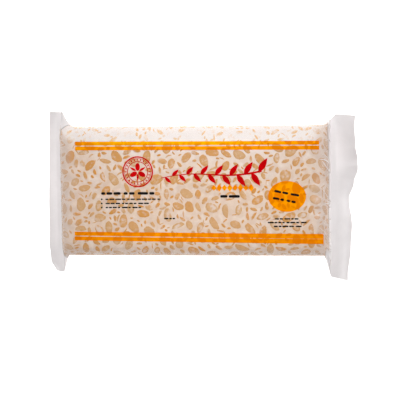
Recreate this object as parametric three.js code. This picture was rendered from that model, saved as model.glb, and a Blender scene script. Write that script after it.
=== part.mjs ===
// A tempeh cake sealed in a flat tube of clear film, lying on its back.
//
// The cake is a slab with full, rounded long edges. The film hugs it, and at each end the tube is
// pressed flat into a heat-sealed fin. The fin is wider than the cake, because the film that goes
// round the cake's edges opens out there, so a web of film stands at each of the four corners.
//
// Millimetres, +Z up. X runs along the cake, Y across its face, and the back lies on Z = 0.
// The pack is one closed surface: cross-sections (stations) along X, each a loop of points round
// the tube, first over the face from -Y to +Y and then back under it.

import * as THREE from "three";

// ---- driving dimensions -------------------------------------------------------------------

const CAKE = {
  width: 100, // across the face
  thickness: 33,
  edgeRadius: 13, // of the long edges
};
const SEAM_SPACING = 208.5; // between the two lines where the film closes
const BAG_WIDTH = 125; // of the empty tube, laid flat
const FILM = 0.8; // both layers of a fin together, with the seal

const LUMP_HEIGHT = 0.35; // of the face's gentle unevenness
const GATHER = { height: 0.9, pitch: 15, reach: 15 }; // folds that run in from each seam
const FILLET = { height: 2.5, length: 5 }; // where the film spans the corner at the seam

// Each end: which way it faces, how far the thickness takes to fall to the seam and how squarely,
// the fin's length at its two corners, how far its middle lies from the cake's, how far its ends
// slant, and the two webs. A web leaves the cake's edge at `from` and is fully open at `to`, both
// measured inwards from the seam; `power` is how late it opens.
const LEFT_END = {
  side: -1,
  roundLength: 10,
  squareness: 2.6,
  finLength: { top: 9.1, bottom: 12.5 },
  finShift: -0.6,
  finSlant: { top: 0.4, bottom: -1 },
  web: {
    top: { from: 12.8, to: 0.9, power: 2.4 },
    bottom: { from: 4.4, to: 0, power: 1.6 },
  },
};
const RIGHT_END = {
  side: 1,
  roundLength: 10,
  squareness: 2.6,
  finLength: { top: 21.2, bottom: 20 },
  finShift: -4.1,
  finSlant: { top: -1.4, bottom: -5.3 },
  web: {
    top: { from: 5.8, to: -4, power: 1.3 },
    bottom: { from: 5.2, to: 0.2, power: 1.2 },
  },
};

// How far each fin's free edge is bent out of its plane, in degrees, at heights across it in mm.
// Up, towards the face, is positive.
const LEFT_BEND = [
  [-64, -45],
  [-54, -18],
  [-40, -3],
  [0, 8],
  [40, 12],
  [64, 20],
];
const RIGHT_BEND = [
  [-68, -50],
  [-46, -41],
  [-28, -37],
  [-8, -47],
  [6, -30],
  [20, 4],
  [34, 24],
  [48, 30],
  [64, 22],
];

// ---- resolution ---------------------------------------------------------------------------

const ARC_STEPS = 6; // in one rounded edge
const SIDE_STEPS = 1; // in the straight part of a side, up to its fold
const FACE_STEPS = 24; // across the flat of the face
const BODY_STATIONS = 17; // between the two ends
const END_STATIONS = 9; // over one end's rounding
const FIN_STATIONS = 6;

// ---- small helpers ------------------------------------------------------------------------

const HALF_WIDTH = CAKE.width / 2;
const HALF_THICKNESS = CAKE.thickness / 2;
const HALF_FILM = FILM / 2;
const { clamp, lerp, smoothstep, degToRad } = THREE.MathUtils;

// Reads a smooth curve through [place, value] pairs at a place.
function readCurve(pairs, place) {
  const last = pairs.length - 2;
  const i = clamp(pairs.findIndex(([at]) => at > place) - 1, 0, last);
  const k = place >= pairs[last + 1][0] ? last : i;
  const share = smoothstep(place, pairs[k][0], pairs[k + 1][0]);
  return lerp(pairs[k][1], pairs[k + 1][1], share);
}

// ---- the loop round the tube --------------------------------------------------------------

// Half of the cake's cross-section, over the face, from the fold at -Y to the fold at +Y.
// Heights are measured from the plane of the folds.
function faceOutline() {
  const { edgeRadius: radius } = CAKE;
  const outline = new THREE.Path();
  const centreY = HALF_WIDTH - radius;
  const centreZ = HALF_THICKNESS - radius;
  outline.moveTo(-HALF_WIDTH, 0);
  outline.lineTo(-HALF_WIDTH, centreZ);
  outline.absarc(-centreY, centreZ, radius, Math.PI, Math.PI / 2, true);
  outline.lineTo(centreY, HALF_THICKNESS);
  outline.absarc(centreY, centreZ, radius, Math.PI / 2, 0, true);
  outline.lineTo(HALF_WIDTH, 0);
  const steps = [SIDE_STEPS, ARC_STEPS, FACE_STEPS, ARC_STEPS, SIDE_STEPS];
  const points = outline.curves.flatMap((curve, i) =>
    curve.getPoints(steps[i]).slice(0, -1),
  );
  return [...points, new THREE.Vector2(HALF_WIDTH, 0)];
}

// The whole loop: each point's place on the cake, the place it takes when the tube is pressed
// flat, and whether it is on the face (+1), on the back (-1) or on a fold (0).
function tubeLoop() {
  const face = faceOutline();
  const lengths = [0];
  for (let i = 1; i < face.length; i += 1) {
    lengths.push(lengths[i - 1] + face[i].distanceTo(face[i - 1]));
  }
  const whole = lengths.at(-1);
  const over = face.map(({ x: y, y: z }, i) => ({
    y,
    z,
    flatY: (lengths[i] / whole - 0.5) * BAG_WIDTH,
    layer: i === 0 || i === face.length - 1 ? 0 : 1,
  }));
  const under = over
    .slice(1, -1)
    .reverse()
    .map((point) => ({ ...point, z: -point.z, layer: -1 }));
  return [...over, ...under];
}

// ---- the stations along the pack ----------------------------------------------------------

// How far the cake's end rounding has closed at `inward` mm inside the seam: 1 is full thickness.
function thicknessShare(end, inward) {
  const gone = clamp(1 - inward / end.roundLength, 0, 1);
  return (1 - gone ** end.squareness) ** (1 / end.squareness);
}

// How far a web has opened from the cake's edge (0) to the flat tube (1).
function webShare(web, inward) {
  return clamp((web.from - inward) / (web.from - web.to), 0, 1) ** web.power;
}

// Gentle unevenness of the face: three waves of no common length.
function lump(x, y) {
  const waves =
    Math.sin(x / 17 + y / 31) + Math.sin(y / 11 - x / 43) + Math.sin(x / 29 + 2);
  return (LUMP_HEIGHT * waves) / 3;
}

// Folds that run in from a seam and die out at GATHER.reach.
function gather(y, inward) {
  const share = clamp(1 - inward / GATHER.reach, 0, 1);
  const swell = Math.sin(Math.PI * share ** 0.7);
  const wave = Math.sin((2 * Math.PI * y) / GATHER.pitch + 1.7 * Math.sin(y / 13));
  return GATHER.height * swell * wave;
}

// A point on the cake's length or on an end's rounding. `inward` is measured from the seam.
function wrappedPoint(end, inward, point) {
  const share = thicknessShare(end, inward);
  const towardsTop = smoothstep(point.y, -HALF_WIDTH / 2, HALF_WIDTH / 2);
  const opened = lerp(
    webShare(end.web.bottom, inward),
    webShare(end.web.top, inward),
    towardsTop,
  );
  const flatY = point.flatY + end.finShift;
  const x = end.side * (SEAM_SPACING / 2 - inward);
  const y = lerp(point.y, flatY, opened);
  const faceShare = Math.abs(point.z) / HALF_THICKNESS;
  const halfGap = HALF_FILM + FILLET.height * faceShare;
  let z = point.z * share + point.layer * halfGap * (1 - share);
  if (point.layer > 0) {
    z += share * faceShare * (lump(x, y) + gather(y, inward));
  }
  return new THREE.Vector3(x, y, z + HALF_THICKNESS);
}

// A point on a fin: the flat tube, bent along its length by an angle that changes across it.
function finPoint(end, share, point) {
  const bend = end.side < 0 ? LEFT_BEND : RIGHT_BEND;
  const heightShare = point.flatY / BAG_WIDTH + 0.5;
  const outward = share * lerp(end.finLength.bottom, end.finLength.top, heightShare);
  const slant = point.flatY > 0 ? end.finSlant.top : end.finSlant.bottom;
  const across = Math.abs(point.flatY) / (BAG_WIDTH / 2);
  const towardsTop = smoothstep(point.y, -HALF_WIDTH / 2, HALF_WIDTH / 2);
  const opened = lerp(
    webShare(end.web.bottom, -outward),
    webShare(end.web.top, -outward),
    towardsTop,
  );
  const flatY = point.flatY + end.finShift + slant * across ** 2 * share;
  const y = lerp(point.y, flatY, opened);
  const angle = degToRad(readCurve(bend, y)) * smoothstep(share, -0.2, 0.9);
  const spanned = 1 - smoothstep(outward, 0, FILLET.length);
  const halfGap = HALF_FILM + (FILLET.height * spanned * Math.abs(point.z)) / HALF_THICKNESS;
  const x = end.side * (SEAM_SPACING / 2 + outward * Math.cos(angle));
  const z = outward * Math.sin(angle) + point.layer * halfGap;
  return new THREE.Vector3(x, y, z + HALF_THICKNESS);
}

// An end's stations from where it leaves the straight part of the cake out to the fin's edge.
function endStations(end, loop) {
  const reach = GATHER.reach;
  const wrapped = Array.from({ length: END_STATIONS }, (_, i) => {
    const share = i / (END_STATIONS - 1);
    const inward = reach * (1 - share) ** 1.6;
    return loop.map((point) => wrappedPoint(end, inward, point));
  });
  const fin = Array.from({ length: FIN_STATIONS }, (_, i) => {
    const share = ((i + 1) / FIN_STATIONS) ** 1.5;
    return loop.map((point) => finPoint(end, share, point));
  });
  return [...wrapped, ...fin];
}

// The stations between the two ends, where the tube only follows the cake.
function bodyStations(loop) {
  const half = SEAM_SPACING / 2 - GATHER.reach;
  return Array.from({ length: BODY_STATIONS }, (_, i) => {
    const x = lerp(-half, half, (i + 1) / (BODY_STATIONS + 1));
    const end = x < 0 ? LEFT_END : RIGHT_END;
    const inward = SEAM_SPACING / 2 - Math.abs(x);
    return loop.map((point) => wrappedPoint(end, inward, point));
  });
}

// ---- the closed surface -------------------------------------------------------------------

// Joins the stations into one closed mesh. The tube's two open ends are closed between the face
// layer and the back layer of each fin, so both layers are split alike.
function closedTube(stations) {
  const around = stations[0].length;
  const fold = around / 2; // the loop's index of the +Y fold
  const positions = stations.flat().flatMap(({ x, y, z }) => [x, y, z]);
  const triangles = [];
  const quad = (a, b, c, d) => triangles.push(a, b, c, a, c, d);
  for (let i = 0; i + 1 < stations.length; i += 1) {
    for (let j = 0; j < around; j += 1) {
      const next = (j + 1) % around;
      const [a, b] = [i * around + j, i * around + next];
      quad(a, a + around, b + around, b);
    }
  }
  const first = 0;
  const last = (stations.length - 1) * around;
  for (let j = 0; j < fold; j += 1) {
    const [face, faceNext] = [j, j + 1];
    const [back, backNext] = [(around - j) % around, around - j - 1];
    if (j === 0) {
      triangles.push(first + face, first + faceNext, first + backNext);
      triangles.push(last + face, last + backNext, last + faceNext);
    } else if (j === fold - 1) {
      triangles.push(first + face, first + faceNext, first + back);
      triangles.push(last + face, last + back, last + faceNext);
    } else {
      quad(first + face, first + faceNext, first + backNext, first + back);
      quad(last + face, last + back, last + backNext, last + faceNext);
    }
  }
  const geometry = new THREE.BufferGeometry();
  geometry.setAttribute("position", new THREE.Float32BufferAttribute(positions, 3));
  geometry.setIndex(triangles);
  return geometry;
}

// The sealed pack: both ends, the length between them, centred on the origin in X and Y.
function packGeometry() {
  const loop = tubeLoop();
  const stations = [
    ...endStations(LEFT_END, loop).reverse(),
    ...bodyStations(loop),
    ...endStations(RIGHT_END, loop),
  ];
  const geometry = closedTube(stations);
  geometry.computeBoundingBox();
  const centre = geometry.boundingBox.getCenter(new THREE.Vector3());
  geometry.translate(-centre.x, -centre.y, 0);
  geometry.computeVertexNormals();
  return geometry;
}

const tempehInFilm = new THREE.MeshStandardMaterial({
  color: 0xe6d3c2,
  roughness: 0.42,
  metalness: 0,
});

const pack = new THREE.Mesh(packGeometry(), tempehInFilm);
pack.name = "pack";

const tempehCake = new THREE.Group();
tempehCake.add(pack);

export default tempehCake;
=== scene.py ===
"""A slab of whole-bean tempeh sealed in a tube of clear printed film, as a Blender add-on.

The film is one sheet wound round the cake and pressed flat into a fin at each end. Every piece is
placed by two lengths on it: `along`, walked from the cake's middle over the rounded end to the
seam, and `around`, walked round the section from the middle of the printed face. Lengths are metres.
"""

import math
from dataclasses import dataclass

import bpy
import numpy as np
from mathutils import Matrix, Vector


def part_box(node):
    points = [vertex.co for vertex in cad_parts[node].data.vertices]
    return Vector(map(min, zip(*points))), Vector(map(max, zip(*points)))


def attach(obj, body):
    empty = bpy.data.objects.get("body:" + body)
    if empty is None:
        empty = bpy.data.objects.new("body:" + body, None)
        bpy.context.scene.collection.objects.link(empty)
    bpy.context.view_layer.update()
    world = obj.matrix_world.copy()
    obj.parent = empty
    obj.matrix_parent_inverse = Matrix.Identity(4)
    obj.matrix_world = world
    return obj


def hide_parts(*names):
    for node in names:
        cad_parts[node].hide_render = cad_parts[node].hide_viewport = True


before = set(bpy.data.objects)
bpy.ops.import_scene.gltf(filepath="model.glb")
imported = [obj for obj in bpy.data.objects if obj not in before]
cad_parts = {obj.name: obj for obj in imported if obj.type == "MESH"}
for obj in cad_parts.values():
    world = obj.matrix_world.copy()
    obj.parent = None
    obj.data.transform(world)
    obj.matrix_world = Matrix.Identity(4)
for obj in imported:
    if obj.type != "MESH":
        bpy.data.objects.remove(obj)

bl_info = {
    "name": "Tempeh Cake in Film",
    "version": (1, 0, 0),
    "blender": (4, 5, 0),
    "location": "3D View > Sidebar > Tempeh",
    "description": "Builds a tempeh cake in its printed film pack, with its beans and its stage",
    "category": "Add Mesh",
}

MM = 0.001
TURN = 2 * math.pi
NODE = "pack"
BODY = "root"


# ---- colours -------------------------------------------------------------------------------


def linear(red, green, blue):
    """Display colour, 0 to 255 a channel, as the linear one that shaders take, by the sRGB curve."""
    shares = np.array([red, green, blue]) / 255
    return tuple(np.where(shares <= 0.04045, shares / 12.92, ((shares + 0.055) / 1.055) ** 2.4))


# ---- settings a user would change ----------------------------------------------------------


def length(label, about, default):
    """A property that holds a length in metres."""
    return bpy.props.FloatProperty(
        name=label, description=about, default=default, subtype="DISTANCE", unit="LENGTH", precision=4
    )


def angle(label, about, degrees):
    """A property that holds an angle."""
    return bpy.props.FloatProperty(
        name=label, description=about, default=math.radians(degrees), subtype="ANGLE"
    )


def share(label, about, default):
    """A property that holds a share from nothing to all."""
    return bpy.props.FloatProperty(
        name=label, description=about, default=default, min=0, max=1, subtype="FACTOR"
    )


def number(label, about, default, unit="NONE"):
    """A property that holds a number, with a unit where one fits."""
    return bpy.props.FloatProperty(name=label, description=about, default=default, unit=unit)


def whole(label, about, default):
    """A property that holds a whole number."""
    return bpy.props.IntProperty(name=label, description=about, default=default)


def colour(label, about, *channels):
    """A property that holds a colour, given as a display colour."""
    return bpy.props.FloatVectorProperty(
        name=label, description=about, default=linear(*channels), size=3, min=0, max=1, subtype="COLOR"
    )


class PackSettings(bpy.types.PropertyGroup):
    """Sizes of the cake and of the film round it."""

    width: length("Width", "Of the cake, across its face", 100 * MM)
    thickness: length("Thickness", "Of the cake", 32.8 * MM)
    edge_radius: length("Edge radius", "Of the cake's long edges", 13 * MM)
    seam_spacing: length("Seam spacing", "Between the lines where the film closes", 208.5 * MM)
    end_rounding: length("End rounding", "Length over which the thickness falls to the seam", 10 * MM)
    bag_width: length("Bag width", "Of the empty film tube, laid flat", 125 * MM)
    film_gap: length("Fin thickness", "Of both film layers of a fin together", 0.5 * MM)
    lump_height: length("Lump height", "Of the face's gentle unevenness", 0.3 * MM)
    gather_height: length("Gather height", "Of the folds that run in from each seam", 0.4 * MM)
    gather_pitch: length("Gather pitch", "From one of those folds to the next", 15 * MM)
    gather_reach: length("Gather reach", "How far in from the seam they run", 15 * MM)
    fillet_height: length("Fillet height", "Of the corner that the film spans at the seam", 2.5 * MM)
    fillet_length: length("Fillet length", "Of that corner, out over the fin", 5 * MM)
    crinkle_height: length("Crinkle height", "Of the film's fine crinkles by the seams", 0.35 * MM)
    crinkle_reach: length("Crinkle reach", "How far in from the seam the crinkles fade", 5 * MM)
    # Partly a painted sheen: the milky film over the upper long edge also stands in for its gloss there
    haze_top: share("Haze, upper", "How milky the film is over the upper long edge", 0.16)
    haze_bottom: share("Haze, lower", "How milky the film is over the lower long edge", 0.27)
    # The gathered film's greyer tone is partly painted shade, where the ends curve away, and partly milky
    # film
    haze_end: share("Haze, ends", "How milky the film is where it gathers at the ends", 0.27)
    pleats: whole("Pleats", "Small pleats at each end", 34)


class TempehSettings(bpy.types.PropertyGroup):
    """Sizes and numbers of the beans, and of the mould that binds them."""

    mould_depth: length("Mould depth", "From the film down to the mould between beans", 0.13 * MM)
    mould_relief: length("Mould relief", "Height of the mould's unevenness", 0.14 * MM)
    bean_depth: length("Bean depth", "From the film down to the top of a bean", 0.03 * MM)
    bean_sink: length("Bean sink", "How deep a bean's rim is buried", 0.55 * MM)
    corner_fill: length("Corner fill", "How far the cake reaches into the corners of the film", 1.2 * MM)
    seed: whole("Seed", "Of every random draw", 23)


class PrintSettings(bpy.types.PropertyGroup):
    """Sizes of the print on the film."""

    stripe_width: length("Stripe width", "Of each orange stripe", 2.9 * MM)
    stripe_gap: length("Stripe gap", "Between the two stripes of a pair", 0.8 * MM)
    badge_width: length("Badge width", "Of the orange oval", 28.6 * MM)
    badge_height: length("Badge height", "Of the orange oval", 23.4 * MM)
    emblem_radius: length("Emblem radius", "Of the red ring", 11.9 * MM)
    line_height: length("Line height", "Of the small dark dashes", 1.45 * MM)


class ColourSettings(bpy.types.PropertyGroup):
    """Colours of everything in the pack."""

    mould: colour("Mould", "Pale mould between the beans", 238, 220, 206)
    mould_shade: colour("Mould, darker", "Thinner mould", 216, 191, 174)
    # Painted highlight: the mould on the upper long edge, paler where the light falls strongly
    mould_pale: colour("Mould, pale", "Thick mould on the upper long edge", 241, 231, 226)
    # Painted highlight: a bean on the upper long edge, paler where the light falls strongly
    bean_pale: colour("Bean, pale", "Bean on the upper long edge", 238, 191, 128)
    bean: colour("Bean", "Middle of a bean", 216, 172, 122)
    bean_rim: colour("Bean rim", "Rim of a bean", 200, 148, 84)
    bean_dark: colour("Dark bean", "Darkest beans and bean pieces", 208, 136, 16)
    film: colour("Film", "Clear film", 240, 238, 238)
    # Partly painted shade: the gathered film is greyer where the ends curve away from the light, and
    # partly milky
    gathered: colour("Film, gathered", "Clear film where it gathers at the ends", 232, 222, 218)
    pleat_shade: colour("Pleat, shaded", "Side of a pleat that is turned from the light", 178, 152, 132)
    fin: colour("Fin", "Frosted film of the fins", 209, 204, 204)
    fin_shade: colour("Fin, darker", "Cloudier film of the fins", 203, 198, 198)
    # Painted shade: the free film at the corners is darker, to hold back the light that falls strongly on
    # it
    web: colour("Web", "Free film at the corners", 188, 183, 183)
    orange: colour("Orange", "Stripes and badge", 255, 164, 0)
    # Deeper ink over a bean is the ink's own colour; deeper ink low down is painted shade
    orange_deep: colour("Orange, deeper", "Ink over a bean or low down", 226, 116, 0)
    # Painted highlight: ink on the upper long edge, brighter where the light falls strongly
    orange_bright: colour("Orange, bright", "Ink that lies over pale mould", 255, 188, 10)
    red: colour("Red", "Emblem and sprig", 216, 5, 10)
    red_deep: colour("Red, deeper", "Heavier red ink", 192, 4, 8)
    dark: colour("Dark", "Small dashes", 36, 31, 31)
    dark_deep: colour("Dark, deeper", "Heavier dark ink", 20, 17, 17)


class StageSettings(bpy.types.PropertyGroup):
    """The camera, its lights and the floor."""

    yaw: angle("Yaw", "Of the camera towards +X", 7)
    pitch: angle("Pitch", "Of the camera towards +Y", 5)
    roll: angle("Roll", "Of the camera about its sight", -0.76)
    distance: length("Distance", "From the aim to the camera", 1.0)
    aim: bpy.props.FloatVectorProperty(
        name="Aim", description="Point that the camera looks at",
        default=(-0.69 * MM, -2.47 * MM, 16.5 * MM), subtype="XYZ", unit="LENGTH",
    )
    lens: number("Lens", "Focal length on a 36 mm wide sensor", 116.4, "CAMERA")
    floor_drop: length("Floor drop", "Of the floor under the back", 0.05 * MM)
    floor_glow: share("Floor glow", "Light that the floor gives off itself", 0.9)
    sky: number("Sky", "Strength of the even light from all round", 0.25)
    key: number("Key", "Power of the wide light beyond the upper long edge", 0.6, "POWER")
    front: number("Front", "Power of the spot above the face", 84, "POWER")
    front_cone: angle("Front cone", "Full angle of that spot", 20)


# ---- the two ends --------------------------------------------------------------------------


@dataclass(frozen=True)
class Web:
    """A corner of free film, which leaves the cake at `start` and is open at `full`.

    Both are inwards of the seam, and `power` shapes the curve between them.
    """

    start: float
    full: float
    power: float


@dataclass(frozen=True)
class End:
    """One end of the tube: its fin's length at each fold, its shift and slant, and its two webs.

    `gather` is how far in the film gathers, on the face and on the upper long edge. `bend` pairs
    places across the fin, in millimetres, with how far it is bent up there, in degrees.
    """

    side: int
    fin_top: float
    fin_bottom: float
    shift: float
    slant_top: float
    slant_bottom: float
    web_top: Web
    web_bottom: Web
    gather: tuple
    bend: tuple


LEFT_END = End(
    side=-1,
    fin_top=9.1 * MM,
    fin_bottom=12.5 * MM,
    shift=-0.6 * MM,
    slant_top=0.4 * MM,
    slant_bottom=-1 * MM,
    web_top=Web(12.8 * MM, 0.9 * MM, 2.4),
    web_bottom=Web(4.4 * MM, 0, 1.6),
    gather=(20 * MM, 3 * MM),
    bend=((-64, -45), (-54, -18), (-40, -3), (0, 8), (40, 12), (64, 20)),
)
RIGHT_END = End(
    side=1,
    fin_top=21.2 * MM,
    fin_bottom=20 * MM,
    shift=-4.1 * MM,
    slant_top=-1.4 * MM,
    slant_bottom=-5.3 * MM,
    web_top=Web(5.8 * MM, -4 * MM, 1.3),
    web_bottom=Web(5.2 * MM, 0.2 * MM, 1.2),
    gather=(20 * MM, 16 * MM),
    bend=(
        (-68, -50), (-46, -41), (-28, -37), (-8, -47), (6, -30), (20, 4), (34, 24), (48, 30), (64, 22),
    ),
)
END_SQUARENESS = 2.6  # power of the superellipse that rounds the cake's ends
TOP_ROOM = 0.42 * MM  # what the face's lumps stand over the cake's thickness
FIN_TRIM = 0.05 * MM  # by which a fin is cut short, so that it ends inside the solid's box
FIN_SWING = (-0.2, 0.9)  # shares of its length between which a fin's bend comes in


# ---- unevenness, and where each look begins ------------------------------------------------


LUMP_WAVES = ((17, 31, 0), (-43, 11, 0), (29, math.inf, 2))  # mm a radian along, across; phase
FOLD_STRAY = (1.7, 13)  # radians by which the folds at a seam stray, and mm a radian of that
FOLD_SKEW = 0.7  # power that puts a fold's highest place further in than its middle
CRINKLE_PITCH = (30 * MM, 2.4 * MM)  # along and around
SLACK_PITCH = (9 * MM, 14 * MM)

# Each pair gives where a look is nothing and where it is whole. These lie across the cake, past
# the end of the face's flat:
LONG_EDGE = (0, 10 * MM)
GATHER_EDGE = (0, 11 * MM)
WEB_EDGE = (0, 8 * MM)
HAZE_UPPER = (-0.5 * MM, 3 * MM)
HAZE_LOWER = (3.5 * MM, 10 * MM)
# PALE_UPPER, PALE_INWARD and PALE_HEIGHT place the painted highlight on the upper long edge
PALE_UPPER = (-3 * MM, 2.5 * MM)
# These lie inwards of the seam:
HAZE_INWARD = (3 * MM, 16 * MM)
PALE_INWARD = (8 * MM, 45 * MM)
CRINKLE_INWARD = (0, 2 * MM)
# These are a height over the plane of the folds, and the film's distance from the cake:
PALE_HEIGHT = (-9 * MM, 7 * MM)
WEB_STAND = (0.15 * MM, 1.1 * MM)

PALE_FACE = 0.38  # how pale the painted highlight makes the mould on the face, next to the upper long edge
PALE_START = 2 * MM  # where on the face that begins
SEAL_START = -0.2 * MM  # from the seam
SEAL_REACH = (2.2 * MM, 3.6 * MM)  # of the sealed film, on the face and on the long edges
SEAL_STRAY = 0.6 * MM  # of its border
HAZE_STRAY = 2 * MM  # of the haze's border
GATHER_STRAY = 0.3  # of the gather's own reach
GATHER_WHOLE = 0.1  # share of its reach within which the film is wholly gathered
WEB_FROST = 0.97  # how milky the film is in a web
HAZED = 0.25  # how far the cake takes on the tone of the gathered film at its ends, a greyer tone that is partly painted shade

AT_FOLD = 1e-6  # how near a fold a point lies on it, between the two layers of film
AT_SEAM = 1e-9  # how near a seam a point lies on it
NOT_ZERO = 1e-15  # least length that anything is divided by

# Added to the seed, so that each of these has random draws of its own
BEAN_DRAWS, PRINT_DRAWS, MOULD_DRAWS, PLEAT_DRAWS = 1, 2, 3, 4


# ---- small helpers -------------------------------------------------------------------------


def smoothstep(value, low, high):
    """0 below low, 1 above high, and an S-shaped cubic between them."""
    part = np.clip((value - low) / (high - low), 0, 1)
    return part * part * (3 - 2 * part)


def blend(low, high, part):
    """The value that lies the given part of the way from low to high."""
    return low + (high - low) * part


def read_curve(pairs, place):
    """Reads (place, value) pairs at places, with an S-shaped step from each value to the next."""
    places, values = np.array(pairs, dtype=float).T
    k = np.clip(np.searchsorted(places, place, side="right") - 1, 0, len(places) - 2)
    return blend(values[k], values[k + 1], smoothstep(place, places[k], places[k + 1]))


class Cloud:
    """Smooth noise from 0 to 1: random heights on a lattice, joined by S-shaped steps.

    It repeats every `loop` around, so that it has no seam.
    """

    ROWS = 211

    def __init__(self, rng, pitch_along, pitch_around, loop):
        self.columns = max(4, round(loop / pitch_around))
        self.pitch_along = pitch_along
        self.pitch_around = loop / self.columns
        self.heights = rng.random((self.ROWS, self.columns))

    def __call__(self, along, around):
        """The noise at each pair of lengths."""
        rows, columns = along / self.pitch_along, around / self.pitch_around
        row, column = np.floor(rows).astype(int), np.floor(columns).astype(int)
        up, across = smoothstep(rows - row, 0, 1), smoothstep(columns - column, 0, 1)
        row, next_row = row % self.ROWS, (row + 1) % self.ROWS
        column, next_column = column % self.columns, (column + 1) % self.columns
        low = blend(self.heights[row, column], self.heights[row, next_column], across)
        high = blend(self.heights[next_row, column], self.heights[next_row, next_column], across)
        return blend(low, high, up)


# ---- the shape of the wrap -----------------------------------------------------------------


class Wrap:
    """The film and the cake's skin as surfaces of two lengths, `along` and `around`."""

    def __init__(self, pack, tempeh):
        self.pack = pack
        self.corner_fill = tempeh.corner_fill
        self.half_width = pack.width / 2
        self.half_thickness = pack.thickness / 2
        self.mid_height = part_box(NODE)[1][2] / 2 - TOP_ROOM / 2
        self.flat = self.half_width - pack.edge_radius
        self.arc = pack.edge_radius * math.pi / 2
        self.quarter = self.flat + self.arc + self.half_thickness - pack.edge_radius
        self.loop = 4 * self.quarter
        self.straight = pack.seam_spacing / 2 - pack.end_rounding
        self.end_walk, self.end_run, self.end_share = self.end_profile()
        self.seam = self.straight + self.end_walk[-1]
        self.edges = -self.seam - LEFT_END.fin_top, self.seam + RIGHT_END.fin_top
        rng = np.random.default_rng(tempeh.seed)
        self.folds = Cloud(rng, *CRINKLE_PITCH, self.loop)
        self.slack = Cloud(rng, *SLACK_PITCH, self.loop)
        self.centre = np.zeros(3)
        self.centre = self.off_centre()

    def off_centre(self, steps=240):
        """The shift that brings the film, as first worked out, to the middle of the solid's box."""
        low, high = (np.array(corner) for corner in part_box(NODE))
        points = self.film(*self.grid(*self.edges, steps, steps)).reshape(-1, 3)
        middle = (points.min(0) + points.max(0)) / 2
        return np.array([*((low + high) / 2 - middle)[:2], 0])

    def end_profile(self, steps=400):
        """How the cake's end rounds off: a quarter of a superellipse, and the length walked on it.

        The run is a power of a sine and the share of the thickness is that power of the cosine.
        """
        angle = np.linspace(0, math.pi / 2, steps)
        run = self.pack.end_rounding * np.sin(angle) ** (2 / END_SQUARENESS)
        part = np.cos(angle) ** (2 / END_SQUARENESS)
        step = np.hypot(np.diff(run), np.diff(part) * self.half_thickness)
        return np.concatenate([[0], np.cumsum(step)]), run, part

    def grid(self, start, stop, stations, columns):
        """All pairs of `stations` lengths along and `columns` lengths around, from the -Y fold."""
        along = np.linspace(start, stop, stations)
        around = np.arange(columns) * self.loop / columns - self.quarter
        return np.meshgrid(along, around, indexing="ij")

    def section(self, around):
        """The cake's section: a flat, then a quarter circle, then a straight side down to the fold.

        Gives y, z from the plane of the folds, the place on the flat tube, and which layer.
        """
        turned = np.mod(around + self.quarter, self.loop) - self.quarter
        face = turned <= self.quarter
        signed = np.where(face, turned, 2 * self.quarter - turned)
        walk, side = np.abs(signed), np.sign(signed)
        radius = self.pack.edge_radius
        angle = np.clip((walk - self.flat) / radius, 0, math.pi / 2)
        y = side * (np.minimum(walk, self.flat) + radius * np.sin(angle))
        z = self.half_thickness - radius + radius * np.cos(angle)
        z = z - np.maximum(walk - self.flat - self.arc, 0)
        on_fold = walk > self.quarter - AT_FOLD
        layer = np.where(on_fold, 0.0, np.where(face, 1.0, -1.0))
        return y, z * layer, signed * self.pack.bag_width / (2 * self.quarter), layer

    def ending(self, along):
        """The share of the thickness that is left, and how far inwards of the seam."""
        walk = np.clip(np.abs(along) - self.straight, 0, self.end_walk[-1])
        run = np.interp(walk, self.end_walk, self.end_run)
        part = np.interp(walk, self.end_walk, self.end_share)
        inward = np.maximum(self.straight - np.abs(along), 0) + self.pack.end_rounding - run
        return part, inward

    def across(self, around):
        """How far across the cake a place on its section lies, from -Y to +Y."""
        return self.section(around)[0]

    def inward(self, along):
        """How far inwards of its seam a place lies."""
        return self.ending(along)[1]

    def past_flat(self, y, start, stop):
        """A smooth step between two places past the end of the face's flat."""
        return smoothstep(y, self.flat + start, self.flat + stop)

    def short_way(self, around):
        """A length around, taken the short way round the section."""
        return np.mod(around + self.loop / 2, self.loop) - self.loop / 2

    def unevenness(self, x, y, inward):
        """Three waves of no common length over the face, and folds that run in from the seam."""
        x, y = x / MM, y / MM
        waves = sum(np.sin(x / by_x + y / by_y + phase) for by_x, by_y, phase in LUMP_WAVES)
        part = np.clip(1 - inward / self.pack.gather_reach, 0, 1)
        stray, pitch = FOLD_STRAY
        folds = np.sin(TURN * y * MM / self.pack.gather_pitch + stray * np.sin(y / pitch))
        folds = folds * np.sin(math.pi * part**FOLD_SKEW)
        return self.pack.lump_height * waves / len(LUMP_WAVES) + self.pack.gather_height * folds

    def raised(self, z, layer, part, x, y, inward, gap, fillet):
        """A height over the plane of the folds, thinned towards the seam, uneven on the face only."""
        face_share = np.abs(z) / self.half_thickness
        swell = face_share * part * self.unevenness(x, y, inward)
        open_gap = layer * (gap + fillet * face_share) * (1 - part)
        return z * part + open_gap + np.where(layer > 0, swell, 0)

    def skin(self, along, around):
        """The cake's own skin: where it touches the film, and a little way into the corners."""
        return self.surface(along, around, self.corner_fill, 0)

    def film(self, along, around):
        """The film: the cake's section, opened into webs at the corners and bent into fins."""
        return self.surface(along, around, 1, self.pack.film_gap / 2)

    def surface(self, along, around, reach, gap):
        """Either of them, as each end shapes it."""
        ends = [self.end_surface(end, along, around, reach, gap) for end in (LEFT_END, RIGHT_END)]
        return np.where((along < 0)[..., None], *ends) + self.centre

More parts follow.
